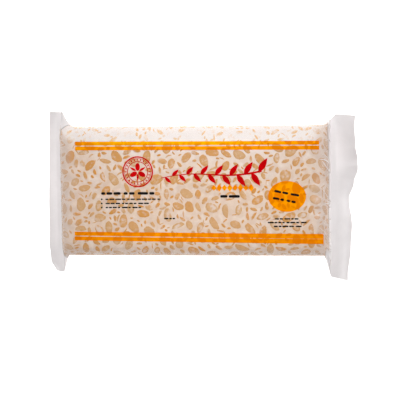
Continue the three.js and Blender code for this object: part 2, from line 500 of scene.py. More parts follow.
    def end_surface(self, end, along, around, reach, gap):
        """One end: y runs from the cake's to the flat tube's as a web opens, as far as `reach`.

        A fin's points swing about the seam by an angle that changes across the fin.
        """
        cake_y, z, flat, layer = self.section(around)
        part, inward = self.ending(along)
        out_part = np.maximum(np.abs(along) - self.seam, 0) / end.fin_top
        fin = blend(end.fin_bottom, end.fin_top, flat / self.pack.bag_width + 0.5) - FIN_TRIM
        outward = out_part * fin
        top_share = smoothstep(cake_y, -self.half_width / 2, self.half_width / 2)
        openings = [
            np.clip((web.start - inward + outward) / (web.start - web.full), 0, 1) ** web.power
            for web in (end.web_bottom, end.web_top)
        ]
        across = np.abs(flat) / (self.pack.bag_width / 2)
        slant = np.where(flat > 0, end.slant_top, end.slant_bottom) * across**2 * out_part
        moved = (flat + end.shift + slant - cake_y) * blend(*openings, top_share)
        y = cake_y + reach * np.tanh(moved / reach)
        swing = np.radians(read_curve(end.bend, y / MM)) * smoothstep(out_part, *FIN_SWING)
        swing = np.where(out_part > 0, swing, 0)
        seam_x = self.pack.seam_spacing / 2
        x = end.side * (seam_x - inward + outward * np.cos(swing))
        fillet = self.pack.fillet_height * (1 - smoothstep(outward, 0, self.pack.fillet_length))
        place = end.side * (seam_x - inward)
        lifted = self.raised(z, layer, part, place, y, inward, gap, fillet)
        return np.stack([x, y, lifted + outward * np.sin(swing) + self.mid_height], -1)

    def crinkle(self, along, around):
        """Height of the film's crinkles: ridges across the seam that fade away from it."""
        inward = self.inward(along)
        near = np.exp(-inward / self.pack.crinkle_reach) * smoothstep(inward, *CRINKLE_INWARD)
        ridges = 1 - np.abs(2 * self.folds(along, around) - 1)
        return self.pack.crinkle_height * near * ridges**2

    def frost(self, along, around):
        """How milky the film is: wholly at the seam, nearly so in a web, and less where it is loose.

        It is loose over the long edges and where it gathers at the ends. Over the upper long edge the
        milkiness is partly a painted sheen.
        """
        y, inward = self.across(around), self.inward(along)
        slack = self.slack(along, around) - 0.5
        reach = blend(*SEAL_REACH, self.past_flat(np.abs(y), *LONG_EDGE))
        sealed = 1 - smoothstep(inward + SEAL_STRAY * slack, SEAL_START, reach)
        upper = self.past_flat(y + HAZE_STRAY * slack, *HAZE_UPPER)
        lower = self.past_flat(HAZE_STRAY * slack - y, *HAZE_LOWER)
        edge = self.pack.haze_top * upper + self.pack.haze_bottom * lower
        edge = edge * smoothstep(inward, *HAZE_INWARD)
        gathered = self.pack.haze_end * self.gathered(along, around)
        milky = np.maximum(1 - (1 - edge) * (1 - gathered), WEB_FROST * self.web(along, around))
        return np.where(np.abs(along) >= self.seam - AT_SEAM, 1.0, np.maximum(sealed, milky))

    def gathered(self, along, around):
        """Where the film gathers at the ends, from 1 by the seam to 0 further in.

        On the upper long edge, where it is drawn tight, it reaches less far in than on the face.
        """
        slack = self.slack(along, around) - 0.5
        upper = self.past_flat(self.across(around), *GATHER_EDGE)
        reaches = [blend(*end.gather, upper) for end in (LEFT_END, RIGHT_END)]
        reach = np.where(along < 0, *reaches)
        strayed = self.inward(along) + GATHER_STRAY * reach * slack
        return 1 - smoothstep(strayed, GATHER_WHOLE * reach, reach)

    def pale(self, along, around):
        """Painted highlight: how much paler the mould and beans are made along the upper long edge, up to
        the gathers.
        """
        y, z, _, _ = self.section(around)
        upper = self.past_flat(y, *PALE_UPPER) * smoothstep(z, *PALE_HEIGHT)
        return upper * (1 - self.gathered(along, around))

    def painted_highlight_spread(self, along, around):
        """How pale the painted highlight makes the mould: wholly on the upper long edge, and in part on
        the face beside it.
        """
        near = PALE_FACE * smoothstep(self.across(around), PALE_START, self.flat)
        return np.maximum(self.pale(along, around), near * smoothstep(self.inward(along), *PALE_INWARD))

    def web(self, along, around):
        """Where the film is free of the cake, from 0 on the cake to 1 where it stands well off."""
        off = np.linalg.norm(self.film(along, around) - self.skin(along, around), axis=-1)
        return self.past_flat(np.abs(self.across(around)), *WEB_EDGE) * smoothstep(off, *WEB_STAND)

    def normals(self, surface, along, around, step=0.05 * MM):
        """Outward normals: the cross product of the steps along and around the surface."""
        by_along = surface(along + step, around) - surface(along - step, around)
        by_around = surface(along, around + step) - surface(along, around - step)
        normal = np.cross(by_along, by_around)
        return normal / np.maximum(np.linalg.norm(normal, axis=-1, keepdims=True), NOT_ZERO)

    def lift(self, surface, along, around, height):
        """Points that stand `height` off a surface."""
        points = surface(along, around)
        return points + self.normals(surface, along, around) * np.asarray(height)[..., None]

    def on_film(self, along, around, height):
        """Points that stand `height` off the crinkled film."""
        return self.lift(self.film, along, around, height + self.crinkle(along, around))


# ---- meshes --------------------------------------------------------------------------------


SHARP_ANGLE = math.radians(55)  # above which an edge isn't shaded smooth


def grid_faces(index):
    """A face for each cell of a grid of point numbers."""
    cells = np.stack([index[:-1, :-1], index[1:, :-1], index[1:, 1:], index[:-1, 1:]], -1)
    return cells.reshape(-1, 4)


def rim_of(index):
    """The point numbers round the rim of a grid, back to the first."""
    return np.concatenate([index[:-1, 0], index[-1, :-1], index[:0:-1, -1], index[0, ::-1]])


def tube_faces(stations, columns):
    """Faces of a tube of stations, closed at each end by a ladder from the face to the back."""
    index = np.arange(stations * columns).reshape(stations, columns)
    half = columns // 2
    rung = np.arange(1, half - 1)
    near = np.stack([rung, rung + 1, columns - rung - 1, columns - rung], -1)
    tips = np.array([[0, 1, columns - 1], [half - 1, half, half + 1]])
    last = (stations - 1) * columns
    side = grid_faces(np.concatenate([index, index[:, :1]], axis=1))
    quads = np.concatenate([side, near, near[:, ::-1] + last])
    return quads, np.concatenate([tips, tips[:, ::-1] + last])


def plate_faces(rows, columns, wrap=False):
    """Faces of a closed plate: a top grid, a bottom grid after it, and a wall round their rims.

    A wrapped plate is a ring, whose last row meets its first.
    """
    count = rows * columns
    index = np.arange(count).reshape(rows, columns)
    if wrap:
        index = np.concatenate([index, index[:1]])
        rims = [index[:, 0], index[::-1, -1]]
    else:
        rims = [rim_of(index)]
    top = grid_faces(index)
    walls = [np.stack([rim[:-1], rim[:-1] + count, rim[1:] + count, rim[1:]], -1) for rim in rims]
    return np.concatenate([top, top[:, ::-1] + count, *walls])


def lens_faces(steps):
    """Faces of a closed lens: a top grid, and a fan from its rim to one last point below it."""
    index = np.arange(steps**2).reshape(steps, steps)
    rim = rim_of(index)
    fan = np.stack([rim[:-1], np.full(len(rim) - 1, steps**2), rim[1:]], -1)
    return grid_faces(index), fan


def repeated(faces, count, size):
    """The same faces for each of `count` shapes of `size` points."""
    return (faces[None] + np.arange(count)[:, None, None] * size).reshape(-1, faces.shape[1])


def mesh_piece(name, points, quads, triangles=None, marks=None):
    """A smooth-shaded mesh object from points, faces and one number a point for each mark."""
    mesh = bpy.data.meshes.new(name)
    faces = quads.tolist() + ([] if triangles is None else triangles.tolist())
    mesh.from_pydata(points.reshape(-1, 3), [], faces)
    for mark, values in (marks or {}).items():
        layer = mesh.attributes.new(mark, "FLOAT", "POINT")
        layer.data.foreach_set("value", np.asarray(values, dtype=np.float32).ravel())
    mesh.shade_smooth()
    mesh.set_sharp_from_angle(angle=SHARP_ANGLE)
    mesh.validate()
    piece = bpy.data.objects.new(name, mesh)
    bpy.context.scene.collection.objects.link(piece)
    return piece


def settle(piece, material):
    """Gives a piece its material and its body, and hides the solid it stands for."""
    piece.data.materials.append(material)
    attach(piece, BODY)
    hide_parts(NODE)


def parameters(rows, columns, down=(0, 1), across=(-1, 1)):
    """Two parameters on a grid, one that changes down its rows and one across its columns."""
    return np.meshgrid(np.linspace(*down, rows), np.linspace(*across, columns), indexing="ij")


def square_to_disc(steps, crowding=1.0):
    """A square grid squeezed into the unit disc, each square of it into a ring.

    A ring's radius is 1 less a power of what the square leaves to the rim, and its points are those
    of the square with each side shortened as the other grows.
    """
    u, v = parameters(steps, steps, down=(-1, 1))
    reach = np.maximum(np.abs(u), np.abs(v))
    a, b = u / np.maximum(reach, NOT_ZERO), v / np.maximum(reach, NOT_ZERO)
    ring = 1 - (1 - reach) ** crowding
    return ring * a * np.sqrt(1 - b * b / 2), ring * b * np.sqrt(1 - a * a / 2)


# ---- materials -----------------------------------------------------------------------------


WHITE = (1, 1, 1, 1)
# The gloss of what the film clings to
UNDER_FILM = {"Roughness": 0.6, "Specular_IOR_Level": 0.2, "Coat_Weight": 0.15, "Coat_Roughness": 0.35}
# A painted glow for each kind of film or ink: emission that stands in for light coming through it
FILM_GLOW, FIN_GLOW, PLEAT_GLOW, ORANGE_GLOW = 0.38, 0.36, 0.42, 0.06
LEAST_ALPHA = 0.05  # of the clear film


def new_group(name, inputs, outputs):
    """An empty shader node group, its tree and its two end nodes.

    An input or output is named with its kind of socket, or with its default where it is a number.
    """
    tree = bpy.data.node_groups.new(name, "ShaderNodeTree")
    for way, sockets in (("INPUT", inputs), ("OUTPUT", outputs)):
        for label, value in sockets.items():
            kind = value if isinstance(value, str) else "Float"
            socket = tree.interface.new_socket(label, in_out=way, socket_type="NodeSocket" + kind)
            if kind == "Float":
                socket.default_value = value
    return tree, tree.nodes.new("NodeGroupInput"), tree.nodes.new("NodeGroupOutput")


def set_values(node, **values):
    """Sets a node's own properties and, where a name isn't one of them, its socket of that name."""
    for name, value in values.items():
        if hasattr(node, name):
            setattr(node, name, value)
        else:
            node.inputs[name.replace("_", " ")].default_value = value
    return node


def add_node(tree, kind, **values):
    """A new node with its values set."""
    return set_values(tree.nodes.new(kind), **values)


def wire(tree, *wires):
    """Links each node's output to another node's input."""
    for source, output, target, socket in wires:
        tree.links.new(source.outputs[output], target.inputs[socket])


def mottle_group():
    """Two colours in soft uneven patches, with a fine speckle over them."""
    name = "Mottled Colour"
    if name in bpy.data.node_groups:
        return bpy.data.node_groups[name]
    scales = {"Patch Scale": 120.0, "Speckle Scale": 1400.0, "Speckle": 0.3}
    tree, start, end = new_group(
        name,
        {"Vector": "Vector", "Light Colour": "Color", "Dark Colour": "Color", **scales},
        {"Colour": "Color", "Patches": 0.0},
    )
    patches = add_node(tree, "ShaderNodeTexNoise", Detail=4.0, Roughness=0.6)
    speckle = add_node(tree, "ShaderNodeTexNoise", Detail=2.0, Roughness=0.7)
    spread = add_node(
        tree, "ShaderNodeMapRange", interpolation_type="SMOOTHSTEP", From_Min=0.34, From_Max=0.66
    )
    mixed = add_node(tree, "ShaderNodeMix", data_type="FLOAT")
    colours = add_node(tree, "ShaderNodeMix", data_type="RGBA")
    wire(
        tree,
        (start, "Vector", patches, "Vector"),
        (start, "Vector", speckle, "Vector"),
        (start, "Patch Scale", patches, "Scale"),
        (start, "Speckle Scale", speckle, "Scale"),
        (patches, "Fac", spread, "Value"),
        (start, "Speckle", mixed, "Factor"),
        (spread, "Result", mixed, "A"),
        (speckle, "Fac", mixed, "B"),
        (mixed, "Result", colours, "Factor"),
        (start, "Light Colour", colours, "A"),
        (start, "Dark Colour", colours, "B"),
        (colours, "Result", end, "Colour"),
        (spread, "Result", end, "Patches"),
    )
    return tree


def relief_group():
    """Fine height noise: a coarse and a fine grain added, for the Height of a Bump node."""
    name = "Fine Relief"
    if name in bpy.data.node_groups:
        return bpy.data.node_groups[name]
    scales = {"Coarse Scale": 400.0, "Fine Scale": 1800.0, "Fine Share": 0.4}
    tree, start, end = new_group(name, {"Vector": "Vector", **scales}, {"Height": 0.0})
    coarse = add_node(tree, "ShaderNodeTexNoise", Detail=3.0, Roughness=0.55)
    fine = add_node(tree, "ShaderNodeTexNoise", Detail=2.0, Roughness=0.6)
    mixed = add_node(tree, "ShaderNodeMix", data_type="FLOAT")
    wire(
        tree,
        (start, "Vector", coarse, "Vector"),
        (start, "Vector", fine, "Vector"),
        (start, "Coarse Scale", coarse, "Scale"),
        (start, "Fine Scale", fine, "Scale"),
        (start, "Fine Share", mixed, "Factor"),
        (coarse, "Fac", mixed, "A"),
        (fine, "Fac", mixed, "B"),
        (mixed, "Result", end, "Height"),
    )
    return tree


class Finish:
    """A material under construction: its tree, its Principled node and its Object coordinates."""

    def __init__(self, name, **values):
        self.material = bpy.data.materials.new(name)
        self.material.use_nodes = True
        self.tree = self.material.node_tree
        self.shader = set_values(self.tree.nodes["Principled BSDF"], **values)
        self.place = self.tree.nodes.new("ShaderNodeTexCoord").outputs["Object"]

    def feed(self, value, node, label):
        """Gives a node's input a socket's value or, where the value is a plain colour, that colour."""
        if isinstance(value, bpy.types.NodeSocket):
            self.tree.links.new(value, node.inputs[label])
        else:
            node.inputs[label].default_value = (*value, 1)

    def group(self, tree, **values):
        """Places a node group, fed by the Object coordinates, with its own values."""
        node = add_node(self.tree, "ShaderNodeGroup", node_tree=tree, **values)
        self.feed(self.place, node, "Vector")
        return node

    def mottle(self, light, dark, **values):
        """A mottled colour between two colours."""
        node = self.group(mottle_group(), **values)
        self.feed(light, node, "Light Colour")
        self.feed(dark, node, "Dark Colour")
        return node.outputs["Colour"]

    def mark(self, name):
        """The number that the mesh keeps at each point under this name."""
        return add_node(self.tree, "ShaderNodeAttribute", attribute_name=name).outputs["Fac"]

    def range(self, value, low, high, least=0.0):
        """A smooth step from `least` to 1 as a value goes from low to high."""
        step = {"interpolation_type": "SMOOTHSTEP", "From_Min": low, "From_Max": high, "To_Min": least}
        node = add_node(self.tree, "ShaderNodeMapRange", **step)
        self.feed(value, node, "Value")
        return node.outputs["Result"]

    def mix(self, factor, first, second):
        """Mixes two colours, each a socket or a plain colour, by a socket or by a mark of this name."""
        node = add_node(self.tree, "ShaderNodeMix", data_type="RGBA")
        self.feed(self.mark(factor) if isinstance(factor, str) else factor, node, "Factor")
        self.feed(first, node, "A")
        self.feed(second, node, "B")
        return node.outputs["Result"]

    def average(self, first, second, factor):
        """Two numbers mixed by a factor."""
        node = add_node(self.tree, "ShaderNodeMix", data_type="FLOAT", Factor=factor)
        self.feed(first, node, "A")
        self.feed(second, node, "B")
        return node.outputs["Result"]

    def colour(self, value):
        """Feeds the base colour."""
        self.feed(value, self.shader, "Base Color")

    def glow(self, value, strength):
        """Feeds a painted glow: emission that stands in for the light coming through film."""
        self.feed(value, self.shader, "Emission Color")
        set_values(self.shader, Emission_Strength=strength)

    def relief(self, strength, distance, **values):
        """Feeds a fine relief to the normal, through a Bump node."""
        height = self.group(relief_group(), **values).outputs["Height"]
        node = add_node(self.tree, "ShaderNodeBump", Strength=strength, Distance=distance)
        self.feed(height, node, "Height")
        self.feed(node.outputs["Normal"], self.shader, "Normal")


def mould_finish(tones):
    """Soft cream mould, tinged by the beans just under it, with painted highlight and shade, glossy where
    the film clings to it.
    """
    finish = Finish("Mould", **UNDER_FILM)
    cream = finish.mottle(tones.mould, tones.mould_shade, Patch_Scale=150, Speckle=0.35)
    tinged = finish.mix("ghost", cream, tones.bean)
    # Partly painted shade: the gathered film's greyer tone over the mould at the ends
    tinged = finish.mix("hazed", tinged, tones.gathered)
    # Painted highlight: paler mould along the upper long edge
    finish.colour(finish.mix("pale", tinged, tones.mould_pale))
    finish.relief(strength=0.35, distance=0.3 * MM, Coarse_Scale=500, Fine_Scale=2200)
    return finish.material


def bean_finish(tones):
    """Tan bean with a darker rim, toned as a whole by its own mark and veiled in part by mould, with
    painted highlight and shade.
    """
    finish = Finish("Bean", **UNDER_FILM)
    middle = finish.mottle(tones.bean, tones.bean_rim, Patch_Scale=420, Speckle=0.6)
    tan = finish.mix(finish.range(finish.mark("rim"), 0.5, 0.88), middle, tones.bean_rim)
    # Painted highlight: paler beans along the upper long edge
    toned = finish.mix("pale", finish.mix("tone", tan, tones.bean_dark), tones.bean_pale)
    cream = finish.mottle(tones.mould, tones.mould_shade, Patch_Scale=330, Speckle=0.5)
    broken = finish.average(finish.mark("veil"), cream.node.outputs["Patches"], 0.35)
    # Painted highlight: the mould over a bean is paler along the upper long edge too
    cream = finish.mix("pale", cream, tones.mould_pale)
    veiled = finish.mix(finish.range(broken, 0.25, 0.75), toned, cream)
    # Partly painted shade: the gathered film's greyer tone over the beans at the ends
    finish.colour(finish.mix("hazed", veiled, tones.gathered))
    finish.relief(strength=0.3, distance=0.25 * MM, Coarse_Scale=700, Fine_Scale=2400)
    return finish.material


def clear_finish(tones):
    """Clear film that turns milky, and glows a little by a painted glow, where it stands off the cake or
    is sealed.
    """
    finish = Finish("Clear Film", Roughness=0.45, Coat_Weight=0.3, Coat_Roughness=0.4)
    frost = finish.mark("frost")
    milky = finish.mottle(tones.fin, tones.fin_shade, Patch_Scale=45, Speckle=0.12)
    # Painted shade: a darker tone where the film stands free at the corners
    milky = finish.mix("web", milky, tones.web)
    # Partly painted shade: the film is greyer where it gathers at the ends
    clear = finish.mix("gathered", tones.film, tones.gathered)
    finish.colour(finish.mix(finish.range(frost, 0.42, 0.8), clear, milky))
    finish.feed(finish.range(frost, 0, 1, LEAST_ALPHA), finish.shader, "Alpha")
    finish.glow(finish.mix(finish.range(frost, 0, 1), (0, 0, 0), tones.fin), FILM_GLOW)
    return finish.material


def fin_finish(tones):
    """Frosted film of the fins, a little cloudy, with a painted glow that evens out its shading."""
    finish = Finish("Frosted Film", Roughness=0.5)
    cloudy = finish.mottle(tones.fin, tones.fin_shade, Patch_Scale=45, Speckle=0.12)
    finish.colour(cloudy)
    finish.glow(cloudy, FIN_GLOW)
    finish.relief(strength=0.15, distance=0.3 * MM, Coarse_Scale=160, Fine_Scale=1500)
    return finish.material


def ink_finish(name, light, deep, bright, alpha, lit=0.0):
    """Ink on film: nearly solid, deeper over beans, deeper low down as painted shade, and brighter on the
    upper long edge as a painted highlight.
    """
    finish = Finish(name, Roughness=0.6, Alpha=alpha, Specular_IOR_Level=0)
    halfway = blend(np.array(light), np.array(deep), 0.5)
    even = finish.mottle(light, halfway, Patch_Scale=160, Speckle=0.3)
    # Deeper over beans and, as painted shade, low down; brighter on the upper long edge as a painted
    # highlight
    inked = finish.mix("behind", finish.mix("pale", even, bright), deep)
    finish.colour(inked)
    finish.glow(inked, lit)
    return finish.material


def pleat_finish(tones):
    """Milky pleat, a little brighter than the fin by a painted glow that stands for its glints, with one
    side in painted shade.
    """
    finish = Finish("Pleat", Roughness=0.35, Alpha=0.65, Coat_Weight=0.6, Coat_Roughness=0.2)
    milky = finish.mottle(tones.film, tones.fin, Patch_Scale=300, Speckle=0.2)
    shaded = finish.mix("shade", milky, tones.pleat_shade)
    finish.colour(shaded)
    finish.glow(shaded, PLEAT_GLOW)
    return finish.material


# ---- the tempeh ----------------------------------------------------------------------------


@dataclass(frozen=True)
class Kind:
    """A kind of bean or bean piece: how many, their lengths, and their widths as shares of those.

    `steps` is the side of a bean's grid. `tone` and `veil` are the least and most of how dark a bean
    is and of how much mould covers it; the field after them is the least veil on the upper long edge, a
    painted highlight.
    `bend` is the most that a bean curves, and `room` the share of both beans' reaches that two
    neighbours keep apart.
    """

    name: str
    count: int
    lengths: tuple
    widths: tuple
    steps: int
    tone: tuple
    veil: tuple
    highlight_veil: float
    bend: float
    room: float


KINDS = (
    Kind("beans_whole", 380, (9.8 * MM, 14.6 * MM), (0.58, 0.76), 9, (0, 0.8), (0.2, 1), 0.85, 0.05, 0.82),
    Kind("beans_half", 400, (5.8 * MM, 9.8 * MM), (0.44, 0.68), 7, (0.1, 1), (0, 0.6), 0.35, 0.1, 0.86),
    Kind("bean_bits", 520, (3.2 * MM, 6.4 * MM), (0.46, 0.76), 7, (0.35, 1), (0, 0.35), 0.2, 0.1, 0.88),
    Kind("bean_slivers", 260, (4.5 * MM, 9 * MM), (0.2, 0.34), 7, (0.2, 0.9), (0, 0.5), 0.1, 0.4, 0.8),
)


# A bean's shape, in shares of its own half length, half width or radius
RIM_WAVES = ((2, 0.01, 0.07), (3, 0.01, 0.07), (5, 0, 0.03))  # how many round it, least and most height
FLAT_SIDED = 0.35  # share of the beans with one flat side
FLATTENED, BARELY_FLATTENED = (0.3, 0.75), (0, 0.2)  # how much of that side is gone, and of the others'
BEND_PIVOT = 0.4  # square of the place along a bean that its bend leaves where it is
SINK_LIMIT = 0.6  # of its half width, the most that a bean sinks
DROP_POWER = 9  # of the radius, by which the top drops at the rim
RIM_CROWDING = 1.5  # power that draws the grid's rings together at the rim
ROOT_DEPTH = 1.5  # of the last point, in sinks
TONE_SKEW = 2  # power that makes dark beans rarer
SCATTER_EDGE = 1.5 * MM  # least from the seam to a bean's centre, and then to its rim
RIM_EDGE = 0.8 * MM

# The mould that veils a bean: a slope over one side, rippled, then its middle, a barer ring and the rim
VEIL_SLOPE, SLOPE_WHOLE = (-0.9, 0.6), 1.1  # where on the slope a veil starts, and where it is whole
RIPPLE, RIPPLE_ALONG, RIPPLE_ACROSS = 0.25, 5, 4
VEIL_SKEW = 1.3  # power that makes thick veils rarer
VEIL_MIDDLE, MIDDLE_RADII = (0.2, 0.7), (0.3, 0.85)
BARE_RING, BARE_RADII = 0.75, (0.5, 0.75)
SOFT_RIM, SOFT_RADII = 0.7, (0.66, 0.92)

# The mould: its grid, the pitch and share of its noises, and the beans that tinge it from below
MOULD_GRID = (350, 268)
COARSE_PITCH, FINE_PITCH, COARSE_SHARE, FINE_SHARE = 5 * MM, 1.4 * MM, 0.65, 0.35
DEEP_BEANS = 420
HALO, HALO_SIZES = 0.25, (1.0, 1.35)  # round each bean that shows: a tan ring where mould meets bean, partly the bean under thin mould and partly painted shade
GHOST, GHOST_SIZES = 0.26, (0.7, 1.0)  # over each that lies deeper


@dataclass
class Scatter:
    """Where beans lie: centres, half lengths, half widths and turns, one a bean."""

    along: np.ndarray
    around: np.ndarray
    half_length: np.ndarray
    half_width: np.ndarray
    turn: np.ndarray

    def reach(self, direction):
        """How far each bean reaches from its centre in a direction: an ellipse's radius there."""
        angle = direction - self.turn
        return (self.half_length * self.half_width) / np.hypot(
            self.half_width * np.cos(angle), self.half_length * np.sin(angle)
        )

    def part(self, chosen):
        """Only some of the beans."""
        return Scatter(*(values[chosen] for values in vars(self).values()))


def join_scatters(scatters):
    """Several scatters as one."""
    columns = zip(*(vars(scatter).values() for scatter in scatters))
    return Scatter(*(np.concatenate(values) for values in columns))


def draw_scatter(rng, wrap, kind, count):
    """Random beans of one kind anywhere on the cake."""
    edge = wrap.seam - SCATTER_EDGE
    half_length = rng.uniform(*kind.lengths, count) / 2
    return Scatter(
        rng.uniform(-edge, edge, count),
        rng.uniform(0, wrap.loop, count),
        half_length,
        half_length * rng.uniform(*kind.widths, count),
        rng.uniform(0, math.pi, count),
    )


def clears(wrap, one, others, room):
    """True if one bean clears all the others."""
    away = others.along - one.along
    across = wrap.short_way(others.around - one.around)
    direction = np.arctan2(across, away)
    reach = others.reach(direction) + one.reach(direction)
    return bool(np.all(np.hypot(away, across) > room * reach))


def scatter_beans(rng, wrap, tries=30):
    """Lays the kinds in order, largest first, and keeps a bean only where it clears the others.

    Two beans clear each other when their centres lie further apart than both reach, times `room`.
    """
    laid, kept = draw_scatter(rng, wrap, KINDS[0], 0), []
    for kind in KINDS:
        drawn = draw_scatter(rng, wrap, kind, kind.count * tries)
        chosen = []
        for i in range(kind.count * tries):
            if clears(wrap, drawn.part([i]), join_scatters([laid, drawn.part(chosen)]), kind.room):
                chosen.append(i)
            if len(chosen) == kind.count:
                break
        kept.append(drawn.part(chosen))
        laid = join_scatters([laid, kept[-1]])
    return kept


def laid_beans(scene, wrap):
    """The beans as every operator sees them, drawn from the cake's own seed."""
    return scatter_beans(np.random.default_rng(scene.tempeh_inside.seed + BEAN_DRAWS), wrap)


def bean_points(rng, wrap, tempeh, kind, scatter):
    """Beans as closed lenses, and their marks.

    Each is a disc, its radius varied by waves, one side flattened and its length bent. The top
    follows the film and drops by a high power of the radius, so the rim is buried in the mould. A
    last point under the middle closes it.
    """
    count = len(scatter.along)
    disc_u, disc_v = square_to_disc(kind.steps, RIM_CROWDING)
    radius = np.hypot(disc_u, disc_v)
    angle = np.arctan2(disc_v, disc_u)
    centre_along, centre_around, half_length, half_width, turn = (
        values[:, None, None] for values in vars(scatter).values()
    )

    def draw(low, high):
        """One random number a bean."""
        return rng.uniform(low, high, (count, 1, 1))

    swell = 1
    for waves, low, high in RIM_WAVES:
        swell = swell + draw(low, high) * np.cos(waves * angle + draw(0, TURN))
    across = disc_v * swell
    flattened = np.where(draw(0, 1) < FLAT_SIDED, draw(*FLATTENED), draw(*BARELY_FLATTENED))
    across = np.where(across < 0, across * (1 - flattened), across)
    p = disc_u * swell * half_length
    q = across * half_width + draw(-kind.bend, kind.bend) * (disc_u**2 - BEND_PIVOT) * half_length
    limit = wrap.seam - RIM_EDGE
    along = np.clip(centre_along + p * np.cos(turn) - q * np.sin(turn), -limit, limit)
    around = centre_around + p * np.sin(turn) + q * np.cos(turn)
    sink = np.minimum(tempeh.bean_sink, SINK_LIMIT * half_width)
    depth = tempeh.bean_depth + sink * radius**DROP_POWER
    veil = veil_of(draw, kind, disc_u, disc_v, radius)
    tone = np.broadcast_to(blend(*kind.tone, draw(0, 1) ** TONE_SKEW), veil.shape)
    rim = np.broadcast_to(radius, veil.shape)

    def with_last(values, last):
        """One row a bean: a value for each point of its grid, and one for its last point."""
        return np.concatenate([values.reshape(count, -1), last.reshape(count, 1)], axis=1)

    middle = kind.steps // 2
    along, around = (with_last(place, place[:, middle, middle]) for place in (along, around))
    depth = with_last(depth, tempeh.bean_depth + ROOT_DEPTH * sink)
    marks = {"rim": rim, "tone": tone, "veil": veil}
    marks = {name: with_last(values, values[:, 0, 0]) for name, values in marks.items()}
    # Painted highlight: beans on the upper long edge are paler and more veiled, which washes them out
    marks["pale"] = wrap.pale(along, around)
    marks["veil"] = np.maximum(marks["veil"], kind.highlight_veil * marks["pale"])
    # Partly painted shade: the gathered film's greyer tone at the ends
    marks["hazed"] = HAZED * wrap.gathered(along, around)
    return wrap.lift(wrap.skin, along, around, -depth), marks


def veil_of(draw, kind, disc_u, disc_v, radius):
    """How much mould covers each point of each bean.

    It is the more of a rippled slope over one side and a patch in the middle, times the bean's own
    strength, less in a ring inside the rim; and the rim, where it dips into the mould, is soft.
    """
    heading = draw(0, TURN)
    slope = disc_u * np.cos(heading) + disc_v * np.sin(heading)
    ripple = RIPPLE * np.sin(RIPPLE_ALONG * disc_u + draw(0, TURN))
    slope = slope + ripple * np.cos(RIPPLE_ACROSS * disc_v + draw(0, TURN))
    strength = blend(*kind.veil, draw(0, 1) ** VEIL_SKEW)
    cover = smoothstep(slope, draw(*VEIL_SLOPE), SLOPE_WHOLE)
    middle = draw(*VEIL_MIDDLE) * (1 - smoothstep(radius, *MIDDLE_RADII))
    ring = 1 - BARE_RING * smoothstep(radius, *BARE_RADII)
    soft_rim = SOFT_RIM * smoothstep(radius, *SOFT_RADII)
    return np.clip(np.maximum(strength * np.maximum(cover, middle) * ring, soft_rim), 0, 1)


def oval_mark(wrap, along, around, scatter, inner, outer):
    """How much of a bean's oval lies at each point: 1 within `inner` of its size, 0 past `outer`."""
    mark = np.zeros(along.shape)
    for bean_along, bean_around, half_length, half_width, turn in zip(*vars(scatter).values()):
        near = np.abs(along - bean_along) < outer * half_length
        away = along[near] - bean_along
        across = wrap.short_way(around[near] - bean_around)
        cos, sin = math.cos(turn), math.sin(turn)
        p = (away * cos + across * sin) / half_length
        q = (across * cos - away * sin) / half_width
        mark[near] = np.maximum(mark[near], 1 - smoothstep(np.hypot(p, q), inner, outer))
    return mark


class TEMPEH_OT_cake(bpy.types.Operator):
    """Make the cake: the mould that binds it, and the beans that show through the film"""

    bl_idname = "tempeh.make_cake"
    bl_label = "Make Cake"

    def execute(self, context):
        """Lays the beans first, because the mould is tinged by them."""
        scene = context.scene
        tempeh, tones = scene.tempeh_inside, scene.tempeh_colours
        wrap = Wrap(scene.tempeh_pack, tempeh)
        rng = np.random.default_rng(tempeh.seed + MOULD_DRAWS)
        laid = laid_beans(scene, wrap)
        bean_material = bean_finish(tones)
        for kind, scatter in zip(KINDS, laid):
            points, marks = bean_points(rng, wrap, tempeh, kind, scatter)
            faces = (repeated(part, *points.shape[:2]) for part in lens_faces(kind.steps))
            piece = mesh_piece(kind.name, points, *faces, marks=marks)
            settle(piece, bean_material)
        self.make_mould(rng, wrap, tempeh, tones, join_scatters(laid))
        return {"FINISHED"}

    def make_mould(self, rng, wrap, tempeh, tones, beans):
        """The mould is the cake's skin, sunk a little under the film by coarse and fine noise."""
        along, around = wrap.grid(-wrap.seam, wrap.seam, *MOULD_GRID)
        coarse = Cloud(rng, COARSE_PITCH, COARSE_PITCH, wrap.loop)(along, around)
        fine = Cloud(rng, FINE_PITCH, FINE_PITCH, wrap.loop)(along, around)
        relief = COARSE_SHARE * coarse + FINE_SHARE * fine - 0.5
        points = wrap.lift(wrap.skin, along, around, -(tempeh.mould_depth + tempeh.mould_relief * relief))
        deep = draw_scatter(rng, wrap, KINDS[0], DEEP_BEANS)
        # The halo is partly painted shade where the mould meets each bean that shows
        halo = HALO * oval_mark(wrap, along, around, beans, *HALO_SIZES)
        marks = {
            "ghost": np.maximum(halo, GHOST * oval_mark(wrap, along, around, deep, *GHOST_SIZES)),
            # Painted highlight of the upper long edge
            "pale": wrap.painted_highlight_spread(along, around),
            # Partly painted shade: the gathered film's greyer tone at the ends
            "hazed": HAZED * wrap.gathered(along, around),
        }
        piece = mesh_piece("mould", points, *tube_faces(*MOULD_GRID), marks)
        settle(piece, mould_finish(tones))


# ---- the film ------------------------------------------------------------------------------


@dataclass(frozen=True)
class Fan:
    """Pleats that run in from one point of a seam: which seam, where on it, and how many.

    `heading` is the first and last one's turn from straight in, in degrees. `width` and `height` are
    about a pleat's own.
    """

    side: int
    around: float
    count: int
    heading: tuple
    lengths: tuple
    width: float
    height: float


